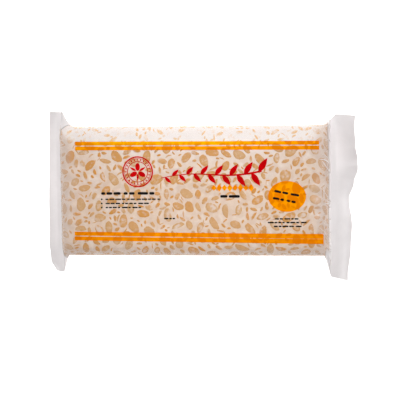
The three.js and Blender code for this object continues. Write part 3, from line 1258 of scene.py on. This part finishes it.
FANS = (
    Fan(1, 16 * MM, 9, (20, 66), (13 * MM, 20 * MM), 1.3 * MM, 0.3 * MM),
    Fan(1, -5 * MM, 4, (-30, 34), (12 * MM, 18 * MM), 0.6 * MM, 0.2 * MM),
    Fan(1, -34 * MM, 5, (8, 60), (14 * MM, 24 * MM), 0.6 * MM, 0.2 * MM),
    Fan(-1, 48 * MM, 3, (-68, -38), (10 * MM, 15 * MM), 1.7 * MM, 0.5 * MM),
    Fan(-1, 38 * MM, 3, (-30, 10), (12 * MM, 18 * MM), 0.8 * MM, 0.25 * MM),
    Fan(-1, -36 * MM, 3, (0, 30), (10 * MM, 16 * MM), 0.6 * MM, 0.2 * MM),
)


FAN_START = 3.5 * MM  # from the seam
FAN_STRAY, FAN_SHARE, FAN_WIDTH, FAN_HEIGHT = 1.5, (0.2, 0.8), (0.7, 1.2), (0.6, 1.1)
# Pleats by themselves, in mm: the least and most of each size, and the spread of their turns
LOOSE_START, LOOSE_LENGTH, LOOSE_WIDTH, LOOSE_HEIGHT = (0.5, 3), (6, 15), (0.4, 0.7), (0.1, 0.25)
LOOSE_TURN = 0.3

PLEAT_GRID = (22, 7)
PLEAT_SKEW, PLEAT_BLUNTNESS = 0.7, 0.8  # powers of the length and of the arch that taper a pleat
PLEAT_BOW, BOW_SIGN = 0.12, 7  # of its length, and radians a mm of `around` that choose its side
PLEAT_LIFT, PLEAT_BASE = 0.02 * MM, 0.01 * MM  # of its top and of its underside, off the film
SHADED_SIDE = (0, 0.8)  # share of the half width over which the shade grows

TUBE_COLUMNS = 280
TUBE_STATIONS, LEFT_STATIONS, RIGHT_STATIONS = 300, 40, 70


class TEMPEH_OT_film(bpy.types.Operator):
    """Make the film: the clear tube over the cake, its two frosted fins and the pleats by them"""

    bl_idname = "tempeh.make_film"
    bl_label = "Make Film"

    def execute(self, context):
        """The tube ends at the seams, and a fin starts at each."""
        scene = context.scene
        tones = scene.tempeh_colours
        wrap = Wrap(scene.tempeh_pack, scene.tempeh_inside)
        left, right = -wrap.seam, wrap.seam
        frosted = fin_finish(tones), "frosted_film"
        self.make_tube(wrap, "film_tube", left, right, TUBE_STATIONS, clear_finish(tones), "clear_film")
        self.make_tube(wrap, "fin_left", wrap.edges[0], left, LEFT_STATIONS, *frosted)
        self.make_tube(wrap, "fin_right", right, wrap.edges[1], RIGHT_STATIONS, *frosted)
        rng = np.random.default_rng(scene.tempeh_inside.seed + PLEAT_DRAWS)
        self.make_pleats(rng, wrap, pleat_finish(tones))
        return {"FINISHED"}

    def make_tube(self, wrap, name, start, stop, stations, material, slot):
        """A closed tube between two places along."""
        along, around = wrap.grid(start, stop, stations, TUBE_COLUMNS)
        points = wrap.on_film(along, around, np.zeros(along.shape))
        marks = {mark: getattr(wrap, mark)(along, around) for mark in ("frost", "web", "gathered")}
        settle(mesh_piece(name, points, *tube_faces(*along.shape), marks), material)

    def make_pleats(self, rng, wrap, material):
        """Small ridges of film, some in fans and some alone, as one piece.

        A pleat's width and height follow a sine's arch along it, skewed and blunted, and its height
        a squared cosine across it. It bows to one side by another arch.
        """
        drawn = [self.draw_fan(rng, wrap, fan) for fan in FANS]
        drawn += [self.draw_loose(rng, wrap, side) for side in (-1, 1)]
        start, around, heading, size, width, height = np.concatenate(drawn, axis=1)[..., None, None]
        t, v = parameters(*PLEAT_GRID)
        taper = np.sin(math.pi * t**PLEAT_SKEW) ** PLEAT_BLUNTNESS
        bow = PLEAT_BOW * size * np.sin(math.pi * t) * np.sign(np.sin(BOW_SIGN * around / MM))
        p, q = t * size, v * width * taper / 2 + bow
        inward = p * np.cos(heading) - q * np.sin(heading)
        along = np.sign(start) * (np.abs(start) - inward)
        around = around + p * np.sin(heading) + q * np.cos(heading)
        ridge = height * taper * np.cos(v * math.pi / 2) ** 2
        heights = ridge + PLEAT_LIFT, np.full(ridge.shape, PLEAT_BASE)
        points = np.stack([wrap.on_film(along, around, height) for height in heights], axis=1)
        faces = repeated(plate_faces(*PLEAT_GRID), len(points), 2 * math.prod(PLEAT_GRID))
        shade = np.broadcast_to(smoothstep(-v * np.sign(np.sin(heading)), *SHADED_SIDE), ridge.shape)
        marks = {"shade": np.stack([shade, shade], axis=1)}
        settle(mesh_piece("film_pleats", points, faces, marks=marks), material)

    def draw_fan(self, rng, wrap, fan):
        """A fan's pleats: start along and around, heading, length, width and height of each."""
        low, high = (math.radians(angle) for angle in fan.heading)
        parts = (np.arange(fan.count) + rng.uniform(*FAN_SHARE, fan.count)) / fan.count
        return np.stack(
            [
                np.full(fan.count, fan.side * (wrap.seam - FAN_START)),
                fan.around + rng.uniform(-FAN_STRAY, FAN_STRAY, fan.count) * MM,
                blend(low, high, parts),
                rng.uniform(*fan.lengths, fan.count),
                fan.width * rng.uniform(*FAN_WIDTH, fan.count),
                fan.height * rng.uniform(*FAN_HEIGHT, fan.count),
            ]
        )

    def draw_loose(self, rng, wrap, side):
        """Pleats by themselves, all round one end."""
        count = wrap.pack.pleats
        return np.stack(
            [
                side * (wrap.seam - rng.uniform(*LOOSE_START, count) * MM),
                rng.uniform(0, wrap.loop, count),
                rng.normal(0, LOOSE_TURN, count),
                rng.uniform(*LOOSE_LENGTH, count) * MM,
                rng.uniform(*LOOSE_WIDTH, count) * MM,
                rng.uniform(*LOOSE_HEIGHT, count) * MM,
            ]
        )


# ---- the print -----------------------------------------------------------------------------


PRINT_LIFT = 0.05 * MM  # of an ink's underside, off the film
PRINT_DEPTH = 0.03 * MM  # of a plate of ink
OVER_BEAN, OVER_BEAN_SIZES = 0.8, (0.75, 0.95)  # how deep ink is over a bean, within these shares of it
SPARED = 0.6  # how much less of that it is under the painted highlight
BRIGHT_FROM, BRIGHT_TO = (-95 * MM, -60 * MM), (20 * MM, 80 * MM)  # along, where the ink takes the painted highlight of the upper long edge
LOWER_SHADE, LOWER_SHADE_FROM = 0.38, (5 * MM, 30 * MM)  # painted shade: how much deeper ink is on the lower half, and from where

# A row of dashes, in shares of its height
DASH_HEIGHT = 0.75
DASH_SPANS, LEAST_SPAN = (1.2, 3.4), 0.9
DASH_GAP, BUNCH_GAP = 0.32, 0.5
BUNCH = (2, 5)  # dashes to a bunch, from the first number to just under the second

OVAL_STEPS, BADGE_STEPS, DOT_STEPS = 13, 49, 5
TICKS = 24  # round the emblem
SPRIG_LEAVES = 14


def placed(p, q, at, turn=0.0):
    """Places turned about the origin and moved to a point."""
    cos, sin = math.cos(turn), math.sin(turn)
    return at[0] + p * cos - q * sin, at[1] + p * sin + q * cos


def oval(at, half_length, half_width, turn=0.0, steps=OVAL_STEPS):
    """Places in an oval: a unit disc, stretched and turned."""
    u, v = square_to_disc(steps)
    return placed(u * half_length, v * half_width, at, turn)


def leaf(at, size, half_width, turn=0.0, skew=0.8):
    """Places in a leaf: across it, the half width times a sine's arch skewed towards the base."""
    t, v = parameters(OVAL_STEPS, 5)
    return placed(t * size, v * half_width * np.sin(math.pi * t**skew), at, turn)


def lozenge(at, half_length, half_width, steps=7):
    """Places in a lozenge: a square grid turned on its corner."""
    u, v = parameters(steps, steps, down=(-1, 1))
    return at[0] + (u + v) / 2 * half_length, at[1] + (v - u) / 2 * half_width


def ring(at, outer, inner, steps=96):
    """Places in a ring: a circle for each radius, and the word that tells it is closed."""
    angle, radius = np.meshgrid(
        np.arange(steps) * TURN / steps, np.linspace(inner, outer, 3), indexing="ij"
    )
    return at[0] + radius * np.sin(angle), at[1] + radius * np.cos(angle), "ring"


def dash(at, half_length, half_height, turn=0.0, steps=7):
    """Places in a level dash with round ends: a disc whose two halves are pulled apart."""
    u, v = square_to_disc(steps)
    pulled = u * half_height + np.sign(u) * (half_length - half_height)
    return placed(pulled, v * half_height, at, turn)


def band(left, right, low, high, pitch=0.7 * MM):
    """Places in a long band. Its lower and upper edges are each given at the left and the right."""
    u, v = parameters(round((right - left) / pitch), 6, across=(0, 1))
    return blend(left, right, u), blend(blend(*low, u), blend(*high, u), v)


def dashes(rng, size, height, at, turn=0.0):
    """A row of dashes of uneven length, a few to a bunch, with wider gaps between bunches.

    `at` is the row's left middle, and a dash is a little lower than the row.
    """
    places, done = [], 0
    while done < size - height:
        for _ in range(rng.integers(*BUNCH)):
            span = min(rng.uniform(*DASH_SPANS) * height, size - done)
            if span < LEAST_SPAN * height:
                break
            centre = placed(done + span / 2, 0, at, turn)
            places.append(dash(centre, span / 2, DASH_HEIGHT * height / 2, turn))
            done += span + DASH_GAP * height
        done += BUNCH_GAP * height
    return places


class TEMPEH_OT_print(bpy.types.Operator):
    """Make the print: orange stripes and badge, a red emblem and sprig, and rows of dark dashes"""

    bl_idname = "tempeh.make_print"
    bl_label = "Make Print"

    def execute(self, context):
        """Each ink is one material, and each field of it one piece of thin plates on the film."""
        scene = context.scene
        tones, sizes = scene.tempeh_colours, scene.tempeh_print
        self.wrap = Wrap(scene.tempeh_pack, scene.tempeh_inside)
        self.beans = join_scatters(laid_beans(scene, self.wrap))
        rng = np.random.default_rng(scene.tempeh_inside.seed + PRINT_DRAWS)
        oranges = tones.orange, tones.orange_deep, tones.orange_bright
        orange = ink_finish("Orange Ink", *oranges, 0.98, ORANGE_GLOW)
        red = ink_finish("Red Ink", tones.red, tones.red_deep, tones.red, 0.93)
        dark = ink_finish("Dark Ink", tones.dark, tones.dark_deep, tones.dark, 0.88)
        self.make_ink("print_stripes", self.stripes(sizes), orange, "print_orange")
        self.make_ink("print_badge", [self.badge(sizes)], orange, "print_orange")
        self.make_ink("print_lozenges", self.lozenges(), orange, "print_orange")
        self.make_ink("print_emblem", self.emblem(sizes), red, "print_red")
        self.make_ink("print_sprig", self.sprig(), red, "print_red")
        self.make_ink("print_dashes", self.small_print(rng, sizes), dark, "print_black")
        marks = self.badge_marks(rng, sizes)
        self.make_ink("print_badge_marks", marks, dark, "print_black", 2 * PRINT_DEPTH)
        return {"FINISHED"}

    def make_ink(self, name, places, material, slot, lift=0):
        """Shapes of one ink as one piece of plates that lie a hair off the film, or off more ink.

        The ink is deeper over beans, deeper on the lower half as painted shade, and brighter on the
        upper long edge as a painted highlight, but for its ends.
        """
        sizes = [2 * place[0].size for place in places]
        starts = np.cumsum([0, *sizes[:-1]])
        faces = [
            plate_faces(*along.shape, wrap=bool(closed)) + start
            for (along, around, *closed), start in zip(places, starts)
        ]
        along, around = (
            np.concatenate([np.tile(place[k].ravel(), 2) for place in places]) for k in (0, 1)
        )
        upper = np.concatenate([np.repeat([PRINT_DEPTH, 0], size // 2) for size in sizes])
        points = self.wrap.on_film(along, around, PRINT_LIFT + lift + upper)
        middle = smoothstep(along, *BRIGHT_FROM) * (1 - smoothstep(along, *BRIGHT_TO))
        # Painted highlight of the upper long edge, away from the ink's ends
        pale = middle * self.wrap.pale(along, around)
        behind = oval_mark(self.wrap, along, around, self.beans, *OVER_BEAN_SIZES)
        behind = behind * (OVER_BEAN - SPARED * pale)
        # Painted shade: the ink is deeper on the lower half
        lower = LOWER_SHADE * smoothstep(-around, *LOWER_SHADE_FROM)
        marks = {"behind": 1 - (1 - behind) * (1 - lower), "pale": pale}
        settle(mesh_piece(name, points, np.concatenate(faces), marks=marks), material)

    def stripes(self, sizes, spread=0.23):
        """Two pairs of stripes, one along each long edge; each pair slopes and widens a little.

        A stripe that widens pushes the one below it away by its share `spread` of that.
        """
        wide, step = sizes.stripe_width, sizes.stripe_width + sizes.stripe_gap
        pairs = (
            (-90.2 * MM, 96.3 * MM, (39.2 * MM, 38.5 * MM), (1, 1)),
            (-92 * MM, 99.3 * MM, (-30.1 * MM, -31.8 * MM), (1.02, 1.3)),
        )
        rows = []
        for left, right, tops, widths in pairs:
            for k in range(2):
                high = [top - k * (step + (w - 1) * spread * wide) for top, w in zip(tops, widths)]
                low = [h - wide * w for h, w in zip(high, widths)]
                rows.append(band(left, right, low, high))
        return rows

    def badge(self, sizes):
        """A big oval near the right end."""
        centre = (71.9 * MM, -3.3 * MM)
        return oval(centre, sizes.badge_width / 2, sizes.badge_height / 2, steps=BADGE_STEPS)

    def badge_marks(self, rng, sizes):
        """Two slanting rows of dashes on the badge."""
        height, turn = 1.6 * sizes.line_height, math.radians(-11)
        rows = (((62.4 * MM, 0.9 * MM), 19 * MM), ((61.2 * MM, -4.4 * MM), 17.5 * MM))
        return [shape for at, size in rows for shape in dashes(rng, size, height, at, turn)]

    def lozenges(self):
        """A short row of small lozenges under the sprig, every other one taller."""
        count, left, middle, pitch = 8, 16.5, 3.4, 4.05
        half_length, half_widths = 2.1, (2.4, 3.1)
        return [
            lozenge(((left + pitch * k) * MM, middle * MM), half_length * MM, half_widths[k % 2] * MM)
            for k in range(count)
        ]

    def emblem(self, sizes):
        """Rings, ticks between them, and in the middle three beans with a leaf between each two.

        Every size is a share of the emblem's radius.
        """
        centre, radius = np.array([-41.9 * MM, 15.9 * MM]), sizes.emblem_radius

        def spot(reach, angle):
            """A point in the emblem at a share of its radius."""
            return tuple(centre + reach * radius * np.array([math.cos(angle), math.sin(angle)]))

        rings = ((1, 0.09), (0.87, 0.03), (0.68, 0.05))
        places = [ring(centre, outer * radius, (outer - width) * radius) for outer, width in rings]
        for k in range(TICKS):
            angle = k * TURN / TICKS
            tick = 0.06 * radius, 0.04 * radius
            places.append(oval(spot(0.775, angle), *tick, angle, steps=DOT_STEPS))
        for k in range(3):
            angle = TURN * (k + 0.75) / 3
            places.append(oval(spot(0.31, angle), 0.25 * radius, 0.15 * radius, angle))
            angle += TURN / 6
            places.append(leaf(spot(0.12, angle), 0.48 * radius, 0.075 * radius, angle))
        return places

    def sprig(self):
        """A curved stem that widens to the right, with leaves on both sides that grow that way."""
        start, stop, low, rise, wave = -24 * MM, 53 * MM, 11 * MM, 5 * MM, 1.6 * MM
        half_width, slimness = 0.5 * MM, 0.19
        u, v = parameters(60, 3)

        def stem(t):
            """Height of the stem: a straight rise and one wave."""
            return low + rise * t + wave * np.sin(TURN * t)

        places = [(blend(start, stop, u), stem(u) + v * half_width * (0.5 + u))]
        for k, t in enumerate(np.linspace(0.04, 0.97, SPRIG_LEAVES)):
            way = 1 if k % 2 else -1
            size, lean = blend(6.5 * MM, 12.5 * MM, t), math.radians(blend(42, 58, t))
            base = (blend(start, stop, t), float(stem(t)))
            places.append(leaf(base, size, slimness * size, way * lean))
        return places

    def small_print(self, rng, sizes):
        """Rows of dashes where a pack has its small print: left, size, middle and height, in mm."""
        tall, low = 1.9 * sizes.line_height, sizes.line_height
        dot_left, dot_size, dotted = -70.2, 0.7, (-5.1, -8.3, -11.4)
        rows = [
            (-70.6, 44.2, -0.6, tall),
            (-67.3, 42.4, dotted[0], low),
            (-67.3, 35.4, dotted[1], low),
            (-67.3, 27.6, dotted[2], low),
            (21.2, 17.5, -3.1, tall),
            (-22.1, 10, -20, low),
            (62.5, 19.6, -20.3, low),
            (57.2, 30.2, -23.1, low),
            (61.8, 21, -26, low),
        ]
        places = []
        for left, size, middle, height in rows:
            places += dashes(rng, size * MM, height, (left * MM, middle * MM))
        for middle in dotted:
            at = (dot_left * MM, middle * MM)
            places.append(oval(at, dot_size * MM, dot_size * MM, steps=DOT_STEPS))
        return places


# ---- the stage -----------------------------------------------------------------------------


FLOOR_HALF = 3.0
FLOOR_TONES = linear(252, 252, 252), linear(249, 249, 249)
KEY_PLACE, KEY_TARGET, KEY_SIZE = (-0.05, 1.5, 1.0), (0, 0, 0), (1.6, 1.1)
FRONT_PLACE, FRONT_TARGET, FRONT_RADIUS = (0.006, 0.34, 1.1), (0.006, 0, 0), 0.2
NEAREST_SEEN = 0.01
SENSOR_WIDTH = 36  # mm


class TEMPEH_OT_stage(bpy.types.Operator):
    """Set the stage: a plain pale floor, soft studio lights and the camera"""

    bl_idname = "tempeh.set_stage"
    bl_label = "Set Stage"

    def execute(self, context):
        """A soft spot above the face, leaning to its upper edge, is the main light.

        A wide weak light lies beyond that edge, and an even one is all round.
        """
        stage = context.scene.tempeh_stage
        self.make_floor(stage)
        self.make_sky(context.scene, stage)
        key = self.make_lamp("Key Light", "AREA", KEY_PLACE, KEY_TARGET, stage.key)
        key.shape = "RECTANGLE"
        key.size, key.size_y = KEY_SIZE
        front = self.make_lamp("Front Light", "SPOT", FRONT_PLACE, FRONT_TARGET, stage.front)
        front.spot_size, front.spot_blend = stage.front_cone, 1.0
        front.shadow_soft_size = FRONT_RADIUS
        self.make_camera(context.scene, stage)
        return {"FINISHED"}

    def make_floor(self, stage):
        """A wide flat square just under the pack, which gives off white light itself."""
        sides = (-FLOOR_HALF, FLOOR_HALF)
        points = np.array([(x, y, -stage.floor_drop) for y in sides for x in sides])
        floor = mesh_piece("floor", points, np.array([[0, 1, 3, 2]]))
        finish = Finish("Floor", Roughness=0.8, Emission_Color=WHITE, Emission_Strength=stage.floor_glow)
        finish.colour(finish.mottle(*FLOOR_TONES, Patch_Scale=3))
        floor.data.materials.append(finish.material)

    def make_sky(self, scene, stage):
        """An even white light from all round."""
        scene.world = bpy.data.worlds.new("Sky")
        scene.world.use_nodes = True
        set_values(scene.world.node_tree.nodes["Background"], Color=WHITE, Strength=stage.sky)
        scene.view_settings.view_transform = "Standard"

    def make_lamp(self, name, kind, place, target, power):
        """A light that faces a point."""
        lamp = bpy.data.lights.new(name, kind)
        lamp.energy = power
        holder = bpy.data.objects.new(name, lamp)
        holder.location = place
        holder.rotation_euler = (Vector(target) - Vector(place)).to_track_quat("-Z", "Y").to_euler()
        bpy.context.scene.collection.objects.link(holder)
        return lamp

    def make_camera(self, scene, stage):
        """Looks down at the face, from a little towards its upper edge and its right end."""
        back = Vector(
            (
                math.sin(stage.yaw) * math.cos(stage.pitch),
                math.sin(stage.pitch),
                math.cos(stage.yaw) * math.cos(stage.pitch),
            )
        )
        right = (-back).cross(Vector((0, 1, 0))).normalized()
        up = right.cross(-back)
        turned = Matrix((right, up, back)).transposed() @ Matrix.Rotation(stage.roll, 3, "Z")
        data = bpy.data.cameras.new("Camera")
        data.sensor_width = SENSOR_WIDTH
        data.lens = stage.lens
        data.clip_start = NEAREST_SEEN
        camera = bpy.data.objects.new("Camera", data)
        camera.location = Vector(stage.aim) + back * stage.distance
        camera.rotation_euler = turned.to_euler()
        scene.collection.objects.link(camera)
        scene.camera = camera


# ---- the panel and the add-on --------------------------------------------------------------


OPERATORS = (TEMPEH_OT_cake, TEMPEH_OT_film, TEMPEH_OT_print, TEMPEH_OT_stage)
SETTINGS = {
    "tempeh_pack": PackSettings,
    "tempeh_inside": TempehSettings,
    "tempeh_print": PrintSettings,
    "tempeh_colours": ColourSettings,
    "tempeh_stage": StageSettings,
}


class TEMPEH_PT_panel(bpy.types.Panel):
    """Lists the operators and their settings"""

    bl_idname = "TEMPEH_PT_panel"
    bl_label = "Tempeh Cake"
    bl_space_type = "VIEW_3D"
    bl_region_type = "UI"
    bl_category = "Tempeh"

    def draw(self, context):
        """One button an operator, then each group's settings."""
        for operator in OPERATORS:
            self.layout.operator(operator.bl_idname)
        for name, group in SETTINGS.items():
            box = self.layout.box()
            for key in group.__annotations__:
                box.prop(getattr(context.scene, name), key)


def register():
    """Adds the classes and hangs the settings on the scene."""
    for kind in (*SETTINGS.values(), *OPERATORS, TEMPEH_PT_panel):
        bpy.utils.register_class(kind)
    for name, group in SETTINGS.items():
        setattr(bpy.types.Scene, name, bpy.props.PointerProperty(type=group))


def unregister():
    """Takes the settings and the classes away again."""
    for name in SETTINGS:
        delattr(bpy.types.Scene, name)
    for kind in reversed((*SETTINGS.values(), *OPERATORS, TEMPEH_PT_panel)):
        bpy.utils.unregister_class(kind)


def main():
    """Builds everything."""
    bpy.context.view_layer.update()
    register()
    bpy.ops.tempeh.make_cake()
    bpy.ops.tempeh.make_film()
    bpy.ops.tempeh.make_print()
    bpy.ops.tempeh.set_stage()


if __name__ == "__main__":
    main()
